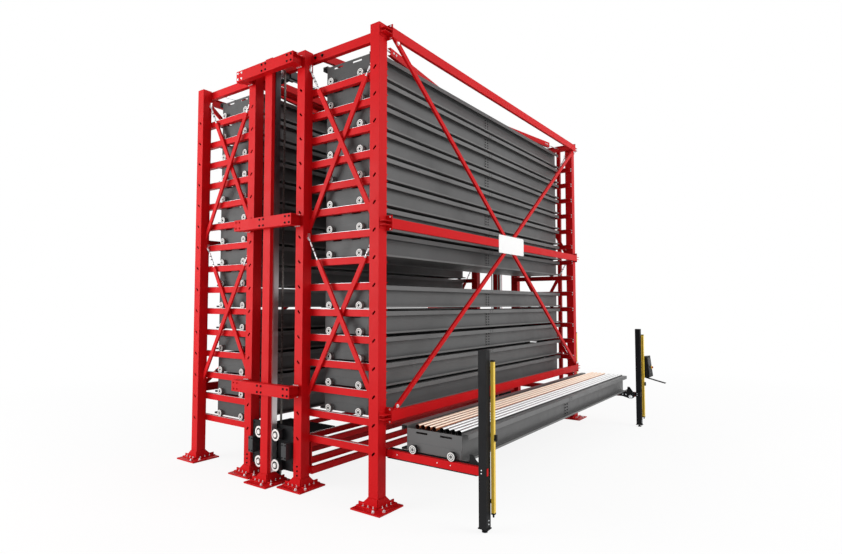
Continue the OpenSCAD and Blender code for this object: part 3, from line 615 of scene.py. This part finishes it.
def rung_strips():
    """Bright wear strip along the outer edge of every rung."""
    mesh = bmesh.new()
    start, stop = RUNG_SPAN
    for level in range(1, LEVELS + 1):
        z = level_z(level)
        for end in (-1, 1):
            xs = sorted(end * x for x in STRIP_XS)
            for side in (-1, 1):
                ys = sorted((AISLE_Y + side * start, AISLE_Y + side * stop))
                block(mesh, (xs[0], ys[0], z), (xs[1], ys[1], z + 0.007), 0.002)
    return finished("rung_wear_strips", mesh, "frame", "zinc_plate", ground_steel)


def foot_studs():
    """Studs and nuts that hold the cleats of every foot."""
    mesh = bmesh.new()
    leg = COLUMN / 2 + CLEAT_T + 0.026
    top = BASE_T + CLEAT_T
    feet = [(COLUMN_X, y) for y in COLUMN_YS] + [(MAST_X, AISLE_Y)]
    for end in (-1, 1):
        for x, y in feet:
            for along in (-0.035, 0.045, 0.125):
                stamp(mesh, STUD, (end * (x + leg), y + along, top), (0, 0, 1), STUD_SIZE)
                stamp(mesh, STUD, (end * (x - along), y - leg, top), (0, 0, 1), STUD_SIZE)
            for along in (-0.045, 0.045):
                stamp(mesh, STUD, (end * (x - leg), y + along, top), (0, 0, 1), STUD_SIZE)
                stamp(mesh, STUD, (end * (x + along), y + leg, top), (0, 0, 1), STUD_SIZE)
    return finished("foot_cleat_studs", mesh, "frame", "zinc_plate", zinc)


def rung_bolts():
    """Bolt heads beside the rung ends on the inner faces of the outer columns."""
    mesh = bmesh.new()
    for level in range(1, LEVELS + 1):
        for end in (-1, 1):
            for y in (COLUMN_YS[0] - 0.056, COLUMN_YS[3] + 0.056):
                for drop in (0.020, 0.066):
                    stamp(mesh, BOLT, (end * COLUMN_IN, y, level_z(level) - drop), (-end, 0, 0), 0.011)
    return finished("rung_end_bolts", mesh, "frame", "zinc_plate", zinc)


def tie_bolts():
    """Bolts of the mast ties and rows on the stubs: dark heads to the front as painted shade in the tie's
    holes, red painted ones at the rear of the lower ties, and bright ones at the rear of the top tie as
    painted sky seen through its holes.
    """
    mesh = bmesh.new()
    # bright paints the sky seen through the top tie's holes, dark paints the shade inside the holes
    bright, dark, painted = range(3)
    for end in (-1, 1):
        for z in TIE_ZS:
            rear = bright if z == TIE_ZS[-1] else painted
            for y, finish in ((COLUMN_YS[1], dark), (AISLE_Y, dark), (COLUMN_YS[2], rear)):
                for dy in (-0.040, 0.040):
                    for dz in (-0.043, 0.043):
                        stamp(mesh, BOLT, (end * TIE_FACE, y + dy, z + dz), (end, 0, 0), 0.013, finish)
            for y in (COLUMN_YS[1], COLUMN_YS[2]):
                for dy in (-0.036, 0.0, 0.036):
                    for way in (-1, 1):
                        stamp(mesh, BOLT, (end * STUB_X, y + dy, z + way * 0.0713), (0, 0, way), 0.012)
    return finished("mast_tie_bolts", mesh, "frame", "zinc_plate", zinc, black_oxide, red_paint)


def beam_bolts():
    """Bolts above and below the ribs on the end plates of the front beams' brackets."""
    mesh = bmesh.new()
    for end in (-1, 1):
        for z in BEAM_ZS:
            for dz in (-0.070, 0.080):
                stamp(mesh, BOLT, (end * COLUMN_IN, BEAM_FRONT + 0.030, z + dz), (end, 0, 0), 0.012)
    return finished("front_beam_bolts", mesh, "frame", "zinc_plate", zinc)


def plan_brace_bolts():
    """Bolts on the webs of the crossed braces over the banks, where the turnbuckles are held."""
    mesh = bmesh.new()
    for bank, side in (("front", -1), ("rear", 1)):
        for end in (-1, 1):
            turn = Matrix.Rotation(end * side * PLAN_BRACE_LEAN, 4, "Z")
            place = Matrix.Translation((0, BANKS[bank], 0)) @ turn
            facing = turn @ Vector((0, side, 0))
            for back in (0.080, 0.150):
                spot = place @ Vector((end * (PLAN_BRACE_END - back), side * 0.025, PLAN_BRACE_Z))
                stamp(mesh, BOLT, spot, facing, 0.013)
    return finished("plan_brace_bolts", mesh, "frame", "zinc_plate", zinc)


def column_foot_bolts():
    """Dark bolts low on the outer faces of the inner columns, as painted shade of holes there, and at the
    ends of the top ties.
    """
    mesh = bmesh.new()
    for end in (-1, 1):
        for y in COLUMN_YS[1:3]:
            for z in (0.165, 0.225, 0.285):
                stamp(mesh, BOLT, (end * COLUMN_OUT, y, z), (end, 0, 0), 0.011)
        for y, side in ((COLUMN_YS[1], -1), (COLUMN_YS[2], 1)):
            for beside in (0.120, 0.255):
                stamp(mesh, BOLT, (end * COLUMN_IN, y + side * beside, TOP_TIE_Z), (end, 0, 0), 0.018)
    return finished("column_bolts", mesh, "frame", "black_paint", black_oxide)


def brace_ears():
    """Bolted ear plates at the four ends of the front crossed braces."""
    mesh = bmesh.new()
    front = BEAM_FRONT + 0.006
    for end in (-1, 1):
        for z, way in ((BEAM_ZS[2] - BEAM_H / 2, -1), (BEAM_ZS[0] + BEAM_H / 2, 1)):
            xs = sorted(end * x for x in EAR_XS)
            zs = sorted((z, z + way * 0.085))
            block(mesh, (xs[0], front - 0.006, zs[0]), (xs[1], front, zs[1]), 0.003)
            stamp(mesh, BOLT, (end * EAR_BOLT_X, front - 0.006, z + way * 0.045), (0, -1, 0), 0.019, 1)
    return finished("front_brace_ears", mesh, "frame", "red_paint", red_paint, zinc)


# Share of the turnbuckle's length, half width and finish of each nut: bright lock nuts and dark thread ends
NUTS = (
    (0.12, 0.018, 0), (0.20, 0.013, 1), (0.34, 0.016, 0), (0.46, 0.0165, 1),
    (0.62, 0.0165, 1), (0.76, 0.016, 0), (0.86, 0.013, 1), (0.97, 0.018, 0),
)


def turnbuckle_nuts():
    """Lock nuts, end caps and pins of the end braces' turnbuckles."""
    mesh = bmesh.new()

    def nut(mesh):
        turned(mesh, [(0.010, -0.5), (0.8, -0.5), (1.0, -0.35), (1.0, 0.35), (0.8, 0.5), (0.010, 0.5)], 6)

    shape = pattern(nut)
    for top, fall in zip(BRACE_TOPS, BRACE_FALLS):
        length = math.hypot(BRACE_RUN, fall)
        for side in (-1, 1):
            for column, inward, x in zip(COLUMN_YS[2:], (1, -1), BUCKLE_LAYERS):
                start = Vector((0, side * (column + inward * COLUMN / 2 - AISLE_Y) + AISLE_Y, top))
                way = Vector((0, side * inward * BRACE_RUN / length, -fall / length))
                for end in (-1, 1):
                    start.x = end * x
                    for share, size, finish in NUTS:
                        stamp(mesh, shape, start + way * BUCKLE * share, way, size, finish)
                    pin = start + way * 0.020 + Vector((end * 0.013, 0, 0))
                    stamp(mesh, BOLT, pin, (end, 0, 0), 0.012)
    bpy.data.meshes.remove(shape)
    return finished("turnbuckle_nuts", mesh, "frame", "zinc_plate", zinc, black_oxide)


def sign_frame():
    """Raised rim and corner screws of the bare sign plate."""
    mesh = bmesh.new()
    low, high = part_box("sign_plate")
    middle = (low + high) / 2
    bmesh.ops.create_grid(mesh, x_segments=1, y_segments=1, size=0.5)
    bmesh.ops.scale(mesh, vec=(high.x - low.x, high.z - low.z, 1.0), verts=mesh.verts)
    bmesh.ops.bevel(
        mesh, geom=mesh.verts[:], offset=0.025, segments=5, profile=0.5, affect="VERTICES", material=-1
    )
    plate = mesh.faces[:]
    bmesh.ops.inset_region(mesh, faces=plate, thickness=0.012)
    bmesh.ops.delete(mesh, geom=plate, context="FACES_ONLY")
    raised = bmesh.ops.extrude_face_region(mesh, geom=mesh.faces[:])["geom"]
    tops = [v for v in raised if isinstance(v, bmesh.types.BMVert)]
    bmesh.ops.translate(mesh, vec=(0, 0, 0.003), verts=tops)
    bmesh.ops.recalc_face_normals(mesh, faces=mesh.faces[:])
    upright = Matrix.Translation((middle.x, low.y, middle.z)) @ Matrix.Rotation(math.pi / 2, 4, "X")
    bmesh.ops.transform(mesh, matrix=upright, verts=mesh.verts)
    for x in (low.x + 0.04, high.x - 0.04):
        for z in (low.z + 0.04, high.z - 0.04):
            stamp(mesh, RIVET, (x, low.y, z), (0, -1, 0), 0.009)
    return finished("sign_plate_rim", mesh, "frame", "sign_face", white_enamel)


# Lift


def guide_wheel_rings():
    """Dark groove and bearing ring on the outer faces of the guide rollers."""
    def wheel_face(mesh):
        turned(mesh, [(0.034, 0.0), (0.034, 0.0015), (0.053, 0.0015), (0.053, 0.0)], 24, 0)
        turned(mesh, [(0.053, 0.0), (0.053, 0.003), (0.074, 0.003), (0.078, 0.0)], 24, 1)

    shape = pattern(wheel_face)
    for name in GUIDE_ROLLERS:
        low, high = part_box(name)
        y, z = (low.y + high.y) / 2, (low.z + high.z) / 2
        mesh = bmesh.new()
        for end in (-1, 1):
            stamp(mesh, shape, (end * GUIDE_OUT, y, z), (end, 0, 0))
        finished(f"{name}_rings", mesh, name, "nylon", rubber, nylon)
    bpy.data.meshes.remove(shape)


def truck_bolts():
    """Cover screws of the wheel boxes and bolts of the truck plates."""
    mesh = bmesh.new()
    for end in (-1, 1):
        for side in (-1, 1):
            for z in (0.385, 0.555):
                for y in (0.322, 0.382):
                    stamp(mesh, BOLT, (end * WHEEL_BOX_FACE, AISLE_Y + side * y, z), (end, 0, 0), 0.009)
            for z in (0.215, 0.300, 0.640, 0.755):
                stamp(mesh, BOLT, (end * TRUCK_FACE, AISLE_Y + side * 0.415, z), (end, 0, 0), 0.011)
    return finished("truck_bolts", mesh, "carriage", "black_paint", black_oxide)


def motor_fins():
    """Cooling fins and terminal box of the lift motor."""
    mesh = bmesh.new()
    x, z, start = MOTOR_X, MOTOR_Z, MOTOR_START

    def fin(mesh):
        turned(mesh, [(0.049, 0.0), (0.057, 0.001), (0.057, 0.004), (0.049, 0.005)], 24)

    shape = pattern(fin)
    for step in range(11):
        stamp(mesh, shape, (x, start + 0.045 + step * 0.013, z), (0, 1, 0))
    bpy.data.meshes.remove(shape)
    block(mesh, (x - 0.035, start + 0.060, z + 0.048), (x + 0.035, start + 0.150, z + 0.092), 0.006, 0, 2)
    for y in (start + 0.072, start + 0.138):
        stamp(mesh, BOLT, (x + 0.024, y, z + 0.092), (0, 0, 1), 0.005)
    return finished("lift_motor_fins", mesh, "frame", "grey_paint", graphite_paint)


# Table, posts and panel


def table_rail_bolts():
    """Bolts along the sides of the table rails, and the dark strip under them."""
    mesh = bmesh.new()
    for end in (-1, 1):
        for y in RAIL_BOLT_YS:
            stamp(mesh, BOLT, (end * RAIL_OUT, y, RAIL_BOLT_Z), (end, 0, 0), 0.0055)
        xs = sorted((end * (RAIL_OUT + 0.002), end * (RUNG_IN + 0.005)))
        block(mesh, (xs[0], AISLE_Y - 3.200, RAIL_LOW - 0.012), (xs[1], AISLE_Y - 1.950, RAIL_LOW), 0.002, 1)
    return finished("table_rail_bolts", mesh, "frame", "zinc_plate", zinc, rubber)


def stop_brackets():
    """Humped bracket plates inside the table rails, each with a large washer and two bolts."""
    mesh = bmesh.new()
    plane, thick = STOP_PLATE
    outline = [
        (-2.100, 0.620), (-2.100, 0.690), (-2.258, 0.700), (-2.270, 0.758), (-2.300, 0.745),
        (-2.355, 0.697), (-2.400, 0.645), (-2.395, 0.585), (-2.340, 0.556),
    ]
    for end in (-1, 1):
        corners = [mesh.verts.new((end * plane, y, z)) for y, z in outline]
        plate = mesh.faces.new(corners)
        drawn = bmesh.ops.extrude_face_region(mesh, geom=[plate])["geom"]
        moved = [v for v in drawn if isinstance(v, bmesh.types.BMVert)]
        bmesh.ops.translate(mesh, vec=(-end * thick, 0, 0), verts=moved)
    bmesh.ops.recalc_face_normals(mesh, faces=mesh.faces[:])
    rims = [e for e in mesh.edges if abs(e.verts[0].co.x - e.verts[1].co.x) < 1e-6]
    bmesh.ops.bevel(mesh, geom=rims, offset=0.002, segments=1, profile=0.5, affect="EDGES", material=-1)
    for end in (-1, 1):
        face = end * (plane - thick)
        stamp(mesh, BOLT, (face, -2.335, 0.600), (-end, 0, 0), 0.030, 1)
        for y in (-2.180, -2.245):
            stamp(mesh, BOLT, (face, y, 0.640), (-end, 0, 0), 0.009, 1)
    return finished("table_stop_brackets", mesh, "frame", "black_paint", black_paint, zinc)


def post_fittings():
    """Rail bolts and top caps on the two posts, and the sleeve over the rail's end at the far one."""
    mesh = bmesh.new()
    half = POST_W / 2
    for x in (NEAR_POST, FAR_POST):
        cap = Vector((x, POST_Y, POST_TOP))
        block(mesh, cap - Vector((half, half, 0.004)), cap + Vector((half, half, -0.0001)), 0.002, 1)
        for z in (0.09, 0.13):
            stamp(mesh, BOLT, (x, POST_Y - half, z), (0, -1, 0), 0.007)
    low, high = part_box("table_rails")
    sleeve = Vector((RUNG_IN - 0.002, low.y - 0.0005, low.z - 0.002))
    block(mesh, sleeve, (FAR_POST - half, POST_Y + half, high.z + 0.002), 0.003, 1)
    for x in (NEAR_POST - half, sleeve.x):
        for z in POST_BOLT_ZS:
            stamp(mesh, BOLT, (x, POST_Y + 0.012, z), (-1, 0, 0), 0.006)
    return finished("post_fittings", mesh, "frame", "black_paint", zinc, black_paint)


def light_bar_fittings():
    """Lens strip, end caps and plug of each light bar, and the mounting flanges of the far one."""
    mesh = bmesh.new()
    low, high = BAR_SPAN
    beside = POST_W / 2 + BAR_GAP
    y = POST_Y - beside - BAR_W
    bars = (
        (NEAR_POST + beside, y, 1),
        (FAR_POST + beside, y, -1),
        (*COLUMN_BAR, 1),
    )
    for x, front, way in bars:
        face = x + BAR_W if way > 0 else x
        lens = sorted((face, face + way * 0.0015))
        block(mesh, (lens[0], front + 0.010, low + 0.05), (lens[1], front + 0.028, high - 0.05), 0.0005, 0)
        for z, drop in ((low, 0.016), (high, -0.016)):
            zs = sorted((z - 0.002 if drop > 0 else z + 0.002, z + drop))
            block(mesh, (x - 0.0015, front - 0.0015, zs[0]), (x + 0.0395, front + 0.0395, zs[1]), 0.002, 1)
        plug = Vector((x + 0.010, front + 0.010, low - 0.034))
        block(mesh, plug, plug + Vector((0.018, 0.018, 0.032)), 0.005, 1, 2)
    x, front, _ = bars[1]
    block(mesh, (x + 0.0375, front, low), (x + 0.048, front + 0.012, high), 0.001, 2)
    block(mesh, (x - 0.004, front + 0.0375, low), (x + 0.006, front + 0.042, high), 0.001, 2)
    for (x, front, _), z in zip(bars[:2], (1.000, 0.850)):
        block(mesh, (x + 0.004, front - 0.030, z - 0.036), (x + 0.034, front, z + 0.036), 0.006, 1, 2)
    return finished("light_bar_fittings", mesh, "frame", "yellow_paint", amber_lens, rubber, yellow_paint)


def panel_fittings():
    """Screen, keys and yellow stop collar on the control panel, set in its tilted face."""
    mesh = bmesh.new()
    face = PANEL_FACE
    block(mesh, (3.368, face - 0.004, 0.000), (3.612, face, 0.190), 0.002, 0)
    block(mesh, (3.380, face - 0.005, 0.012), (3.600, face - 0.0035, 0.178), 0.0005, 1)
    for row in range(3):
        for column in range(4):
            corner = Vector((3.372 + column * 0.040, face - 0.006, -0.060 - row * 0.040))
            block(mesh, corner, corner + Vector((0.030, 0.006, 0.026)), 0.002, 2)
    block(mesh, (3.558, face - 0.0115, -0.062), (3.622, face, 0.002), 0.003, 3)
    place = Matrix.Translation((0, POST_Y, PANEL_Z)) @ Matrix.Rotation(PANEL_TILT, 4, "X")
    bmesh.ops.transform(mesh, matrix=place, verts=mesh.verts)
    return finished(
        "panel_screen_and_keys", mesh, "control_panel", "black_paint",
        rubber, dark_glass, graphite_paint, yellow_paint,
    )


# Stage


def seen_white(tree):
    """One for the rays that show the background: to the camera, in gloss and through glass."""
    rays = add_node(tree, "ShaderNodeLightPath")
    direct = add_node(
        tree, "ShaderNodeMath", {"operation": "MAXIMUM"},
        {0: rays.outputs["Is Camera Ray"], 1: rays.outputs["Is Transmission Ray"]},
    )
    return add_node(
        tree, "ShaderNodeMath", {"operation": "MAXIMUM"},
        {0: direct.outputs[0], 1: rays.outputs["Is Glossy Ray"]},
    ).outputs[0]


def white_floor():
    """Pale floor that looks white, keeps a faint shadow under the machine and runs into the backdrop."""
    made, tree, output, place = blank_material("pale_studio_floor")
    pale = tinted(tree, mottled(tree, place, 2500.0, 0.0, 1.0), "#e6e6e6", "#e9e9e9")
    matt = add_node(tree, "ShaderNodeBsdfDiffuse", None, {"Color": pale})
    thin = add_node(tree, "ShaderNodeBsdfDiffuse", {"Color": colour("#6c6c6c")})
    lift = add_node(tree, "ShaderNodeEmission", {"Color": colour("#ffffff"), "Strength": 0.87})
    under = add_node(tree, "ShaderNodeAddShader", None, {0: thin.outputs[0], 1: lift.outputs[0]})
    backdrop = add_node(tree, "ShaderNodeEmission", {"Color": colour("#ffffff"), "Strength": 1.0})
    reach = add_node(tree, "ShaderNodeVectorMath", {"operation": "LENGTH"}, {0: place})
    far = add_node(
        tree, "ShaderNodeMapRange", {"From Min": 5.0, "From Max": 14.0}, {"Value": reach.outputs["Value"]}
    )
    shown = add_node(
        tree, "ShaderNodeMixShader", None, {0: far.outputs[0], 1: under.outputs[0], 2: backdrop.outputs[0]}
    )
    mixed = add_node(
        tree, "ShaderNodeMixShader", None, {0: seen_white(tree), 1: matt.outputs[0], 2: shown.outputs[0]}
    )
    tree.links.new(mixed.outputs[0], output.inputs["Surface"])
    mesh = bmesh.new()
    bmesh.ops.create_grid(mesh, x_segments=4, y_segments=4, size=60.0)
    bmesh.ops.translate(mesh, vec=(0, 0, -0.002), verts=mesh.verts)
    data = bpy.data.meshes.new("studio_floor")
    mesh.to_mesh(data)
    mesh.free()
    data.materials.append(made)
    floor = bpy.data.objects.new("studio_floor", data)
    bpy.context.scene.collection.objects.link(floor)


def white_world():
    """Even soft light all round, seen as plain white by the camera and in gloss."""
    world = bpy.data.worlds.new("studio_white")
    bpy.context.scene.world = world
    world.use_nodes = True
    tree = world.node_tree
    tree.nodes.clear()
    output = add_node(tree, "ShaderNodeOutputWorld")
    level = add_node(
        tree, "ShaderNodeMapRange", {"To Min": 0.46, "To Max": 1.0}, {"Value": seen_white(tree)}
    )
    glow = add_node(
        tree, "ShaderNodeBackground", {"Color": colour("#ffffff")}, {"Strength": level.outputs[0]}
    )
    tree.links.new(glow.outputs[0], output.inputs["Surface"])


def soft_lamp(name, at, target, size, power):
    """A large square lamp that faces a point."""
    data = bpy.data.lights.new(name, "AREA")
    data.size = size
    data.energy = power
    lamp = bpy.data.objects.new(name, data)
    lamp.location = at
    lamp.rotation_euler = (Vector(target) - Vector(at)).to_track_quat("-Z", "Y").to_euler()
    bpy.context.scene.collection.objects.link(lamp)


def photo_camera():
    """Camera at the photograph's place, fitted to the column edges and feet."""
    data = bpy.data.cameras.new("photo_camera")
    data.sensor_width = 36.0
    data.lens = 23.685
    data.clip_end = 200.0
    camera = bpy.data.objects.new("photo_camera", data)
    camera.location = (-8.510, -5.463, 2.457)
    camera.rotation_euler = (math.radians(92.816), 0.0, math.radians(-54.338))
    bpy.context.scene.collection.objects.link(camera)
    bpy.context.scene.camera = camera


dress_nodes()
dress_trays()
rung_strips()
foot_studs()
rung_bolts()
tie_bolts()
beam_bolts()
plan_brace_bolts()
column_foot_bolts()
brace_ears()
turnbuckle_nuts()
sign_frame()
guide_wheel_rings()
truck_bolts()
motor_fins()
table_rail_bolts()
stop_brackets()
post_fittings()
light_bar_fittings()
panel_fittings()

white_floor()
white_world()
soft_lamp("key_from_rear_left", (-15.0, 9.5, 4.5), (-3.0, 1.0, 2.5), 11.0, 2050.0)
soft_lamp("fill_from_front", (3.0, -16.0, 9.0), (0.0, -1.0, 2.5), 10.0, 1450.0)
photo_camera()
bpy.context.scene.view_settings.view_transform = "Standard"
